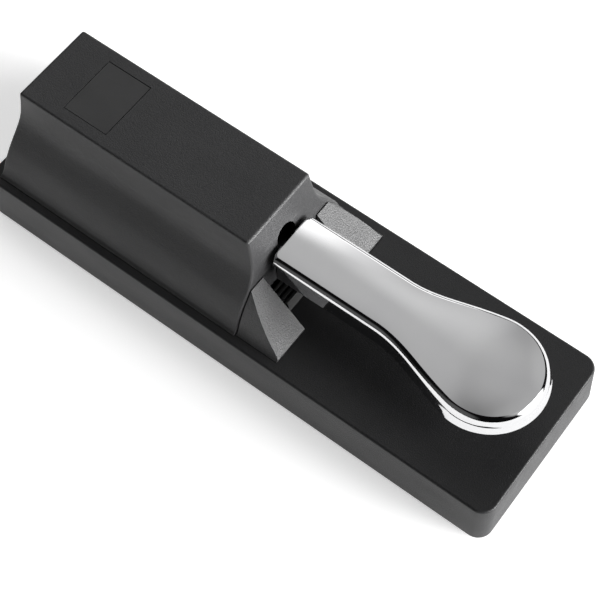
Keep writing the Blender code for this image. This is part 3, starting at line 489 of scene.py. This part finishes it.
# ------------------------------------------------------------------ guards
slope = Vector((0.0, -(0.0425 - 0.0236), -0.0044 + 0.0236)).normalized()
for side, sx in (("left", -1), ("right", 1)):
    pts = [p for p in half_profile(0.0009, 0.0, 2) if p[1] < 0.0466]
    outline = [(0.0175, BASE_H + 0.0003), (0.0175, pts[0][1])] + pts[:-1] + [(pts[-1][0], BASE_H + 0.0003)]
    outline = [(sx * x, z(h)) for x, h in outline]
    bm = extrude_outline(outline, "Y", -0.0236, -0.0035)
    trim(bm, Vector((0.0, -0.0044, z(0.0425))), slope)
    round_edges(
        bm, 0.0007, 4,
        lambda e: len(e.link_faces) == 2 and e.calc_face_angle(0.0) > math.radians(38) and min(v.co.z for v in e.verts) > z(BASE_H) + 0.0007,
    )
    guard = mesh_object("guard_moulding_" + side, bm, GUARD_PAINTED_LIGHT)
    resharpen(guard, 28, GUARD_PAINTED_LIGHT)
    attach(guard, "chassis")
    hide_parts("guard_" + side)


# ------------------------------------------------------------------ pedal
def pedal_half(y):
    if y >= NECK_END:
        return NECK_HALF
    if y >= SPOON_JOIN:
        span = NECK_END - SPOON_JOIN
        s = (NECK_END - y) / span
        reach = math.sqrt(SPOON_R ** 2 - (SPOON_JOIN - SPOON_Y) ** 2)
        slant = (SPOON_JOIN - SPOON_Y) / reach
        return NECK_HALF * (1 - 3 * s * s + 2 * s ** 3) + reach * (3 * s * s - 2 * s ** 3) + slant * span * (s ** 3 - s * s)
    return math.sqrt(max(SPOON_R ** 2 - (y - SPOON_Y) ** 2, 0.0))


def pedal_outline(inset):
    corner = 0.0034 - inset * 0.5
    rear = PEDAL_REAR - inset * 1.9
    half = [((NECK_HALF - inset - corner) * k / 6, rear) for k in range(1, 6)]
    for k in range(9):
        a = math.pi / 2 * k / 8
        half.append((NECK_HALF - inset - corner + corner * math.sin(a), rear - corner + corner * math.cos(a)))
    ys = [rear - corner - 0.001 - (rear - corner - 0.001 - NECK_END) * k / 14 for k in range(0, 15)]
    ys += [NECK_END + (SPOON_JOIN - NECK_END) * k / 28 for k in range(1, 29)]
    for y in ys:
        w = pedal_half(y)
        slant = (pedal_half(y - 0.0001) - pedal_half(y + 0.0001)) / 0.0002
        n = Vector((1.0, slant)).normalized()
        half.append((w - n.x * inset, y - n.y * inset))
    first = math.asin((SPOON_JOIN - SPOON_Y) / SPOON_R)
    r = SPOON_R - inset
    for k in range(1, 49):
        a = first + (-math.pi / 2 - first) * k / 48
        half.append((r * math.cos(a), SPOON_Y + r * math.sin(a)))
    half[-1] = (0.0, SPOON_Y - r)
    return [(0.0, rear)] + half + [(-x, y) for x, y in reversed(half[:-1])]


def pedal_ring(inset, height, rear, narrow=None):
    """One closed loop round the pedal: inset from its outline, at a height, with its rear end at a given y.
    narrow is the smaller inset along the neck, where the rolled edge is tighter than round the end."""
    loop = []
    wide = pedal_outline(inset)
    slim = pedal_outline(inset if narrow is None else narrow)
    for (x, y), (xs, ys) in zip(wide, slim):
        part = min(1.0, max(0.0, (-y - 0.072) / 0.030))
        part = part * part * (3 - 2 * part)
        if y > -0.008:
            part = max(part, min(1.0, (y + 0.008) / 0.003))
        x, y = xs + (x - xs) * part, ys + (y - ys) * part
        if y > -0.012:
            y = rear + (y - (PEDAL_REAR - inset * 1.9)) * min(1.0, max(0.0, (y + 0.012) / 0.008))
        loop.append((x, y, height(y)))
    return loop


def lofted(rings, name, material):
    bm = bmesh.new()
    rows = [[bm.verts.new(p) for p in ring] for ring in rings]
    n = len(rows[0])
    for low, high in zip(rows, rows[1:]):
        for i in range(n):
            bm.faces.new((low[i], low[(i + 1) % n], high[(i + 1) % n], high[i]))
    bm.faces.new(rows[0][::-1])
    bm.faces.new(rows[-1])
    bmesh.ops.recalc_face_normals(bm, faces=bm.faces)
    return bm


def rear_y(h):
    """Rear end of the pedal at a height: it leans like the housing's front, a little clear of it."""
    return min(-0.00265 - max(0.0, 0.0477 - h) * 0.21, -0.00265)


# the wall flares out slightly towards its lower edge; above it a broad rolled edge runs up to the flat top
RIM_Z, RIM_INSET, TOP_INSET = 0.0462, 0.0011, 0.0037
NECK_RIM_Z = 0.0487
ROLL = math.radians(72)


def rim_z(y):
    """Height of the line where the wall turns into the rolled edge: higher along the neck."""
    part = min(1.0, max(0.0, (-y - 0.066) / 0.036))
    part = part * part * (3 - 2 * part)
    return NECK_RIM_Z + (RIM_Z - NECK_RIM_Z) * part


rings = [pedal_ring(0.0, lambda y: z(0.0398 + 0.0022 * min(-y / 0.118, 1.0) + 0.0012 * min(1.0, max(0.0, (-y - 0.070) / 0.035))), rear_y(0.0398))]
for share in (0.35, 0.7):
    h = 0.0428 + (RIM_Z - 0.0428) * share
    rings.append(pedal_ring(RIM_INSET * share, lambda y, share=share: z(0.0428 + (rim_z(y) - 0.0428) * share), rear_y(h), 0.0002 * share))
for k in range(13):
    a = ROLL * k / 12
    rise = math.sin(a) / math.sin(ROLL)
    out = (1 - math.cos(a)) / (1 - math.cos(ROLL))
    inset = RIM_INSET + (TOP_INSET - RIM_INSET) * out
    rings.append(pedal_ring(inset, lambda y, rise=rise: z(rim_z(y) + (PEDAL_TOP - rim_z(y)) * rise), rear_y(RIM_Z) - (inset - RIM_INSET), 0.0002 + 0.0024 * out))
body = lofted(rings, "pedal_loft", CHROME)
for k in range(1, 40):
    bmesh.ops.bisect_plane(body, geom=body.verts[:] + body.edges[:] + body.faces[:], plane_co=(0, -0.004 - 0.116 * k / 40, 0), plane_no=(0, 1, 0), dist=1e-7)
for k in range(-9, 10):
    bmesh.ops.bisect_plane(body, geom=body.verts[:] + body.edges[:] + body.faces[:], plane_co=(0.0024 * k, 0, 0), plane_no=(1, 0, 0), dist=1e-7)


def crown(x, y):
    """How far the top lies below its highest line: a slight crown across, and a gentle fall at both ends."""
    w = pedal_half(max(min(y, -0.0045), -0.1195))
    across = 0.0006 * min((x / max(w, 0.004)) ** 2, 1.0)
    tip = 0.0010 * max(0.0, (-0.085 - y) / 0.035) ** 2
    rear = 0.0002 * max(0.0, (y + 0.026) / 0.022) ** 2
    return across + tip + rear


for v in body.verts:
    share = max(0.0, min(1.0, (v.co.z - z(RIM_Z)) / (PEDAL_TOP - RIM_Z)))
    v.co.z -= crown(v.co.x, v.co.y) * share
pedal = mesh_object("pedal_shell", body, CHROME)
boolean(pedal, extrude_outline(pedal_outline(0.0030), "Z", z(0.0360), z(PEDAL_TOP - 0.0032)))
boolean(pedal, block((-0.0046, -0.009, z(0.036)), (0.0046, 0.002, z(0.0431))))
for y in (-0.0120, -0.0220):
    boss = bmesh.new()
    bmesh.ops.create_cone(boss, cap_ends=True, segments=32, radius1=0.0036, radius2=0.0036, depth=0.0064)
    bmesh.ops.translate(boss, vec=(0.0, y, z(0.0460)), verts=boss.verts)
    boolean(pedal, boss, "UNION")
resharpen(pedal, 12, CHROME)
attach(pedal, "pedal")
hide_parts("pedal_casting")

# ------------------------------------------------------------------ stage, camera, lights
floor_bm = bmesh.new()
bmesh.ops.create_grid(floor_bm, x_segments=1, y_segments=1, size=3.0)
floor = mesh_object("studio_floor", floor_bm, None, 0)
floor_mat, floor_nt, floor_shader = new_material("studio_floor")
floor_shader.inputs["Base Color"].default_value = (0.90, 0.90, 0.90, 1.0)
floor_shader.inputs["Roughness"].default_value = 0.9
floor_shader.inputs["Emission Color"].default_value = (1.0, 1.0, 1.0, 1.0)
floor_shader.inputs["Emission Strength"].default_value = 0.54
floor.data.materials.append(floor_mat)

camera_data = bpy.data.cameras.new("camera")
camera_data.sensor_width = 36.0
camera_data.lens = 1562.544 * 36.0 / 600.0
camera_data.clip_start = 0.01
camera_data.clip_end = 20.0
camera = bpy.data.objects.new("camera", camera_data)
back = Vector((-0.3715, -0.2784, 0.8857)).normalized()
right = Vector((0.5998, -0.8002, 0.0)).normalized()
up = back.cross(right).normalized()
right = up.cross(back).normalized()
camera.matrix_world = Matrix((
    (right.x, up.x, back.x, -0.23918),
    (right.y, up.y, back.y, -0.18741),
    (right.z, up.z, back.z, 0.57354 + FOOT),
    (0, 0, 0, 1),
))
bpy.context.scene.collection.objects.link(camera)
bpy.context.scene.camera = camera

world = bpy.data.worlds.new("studio")
bpy.context.scene.world = world
world.use_nodes = True
wt = world.node_tree
background = wt.nodes["Background"]
direction = add(wt, "ShaderNodeTexCoord").outputs["Generated"]


def glow(towards, inner, outer, strength):
    """A soft round patch of light around a direction; inner and outer are its half angles in degrees."""
    dot = add(wt, "ShaderNodeVectorMath", operation="DOT_PRODUCT")
    dot.inputs[1].default_value = Vector(towards).normalized()
    wt.links.new(direction, dot.inputs[0])
    fall = add(wt, "ShaderNodeMapRange", interpolation_type="SMOOTHSTEP")
    fall.inputs["From Min"].default_value = math.cos(math.radians(outer))
    fall.inputs["From Max"].default_value = math.cos(math.radians(inner))
    fall.inputs["To Min"].default_value = 0.0
    fall.inputs["To Max"].default_value = strength
    wt.links.new(dot.outputs["Value"], fall.inputs["Value"])
    return fall.outputs["Result"]


total = None
for patch in (
    glow((0.24, -0.90, 0.28), 12, 26, 13.0),      # key, a softbox low in front
    glow((0.20, -0.97, 0.10), 5, 14, 36.0),       # its lower edge
    glow((0.90, 0.30, 0.46), 8, 20, 1.7),         # panel on the right
    glow((0.15, -0.80, 0.65), 12, 30, 0.6),
    glow((0.3715, 0.2784, 0.8857), 3, 14, 0.58),  # overhead panels seen in the chrome
    glow((0.72, 0.20, 0.8857), 3, 16, 0.40),
    glow((0.40, -0.08, 0.8857), 3, 14, 0.57),
    glow((0.30, 0.72, 0.8857), 3, 16, 1.1),
    glow((0.70, 0.55, 0.8857), 3, 14, 1.6),
    glow((-1.0, 0.1, 0.3), 14, 32, 0.10),
):
    if total is None:
        total = patch
    else:
        plus = add(wt, "ShaderNodeMath", operation="ADD")
        wt.links.new(total, plus.inputs[0])
        wt.links.new(patch, plus.inputs[1])
        total = plus.outputs["Value"]
plus = add(wt, "ShaderNodeMath", operation="ADD")
plus.inputs[1].default_value = 0.004
wt.links.new(total, plus.inputs[0])
wt.links.new(plus.outputs["Value"], background.inputs["Strength"])
background.inputs["Color"].default_value = (1.0, 1.0, 1.0, 1.0)




bpy.context.scene.view_settings.view_transform = "Standard"
bpy.context.scene.view_settings.look = "None"

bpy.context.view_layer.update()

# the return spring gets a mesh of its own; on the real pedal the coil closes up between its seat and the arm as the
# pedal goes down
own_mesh(bpy.data.objects["return_spring"])
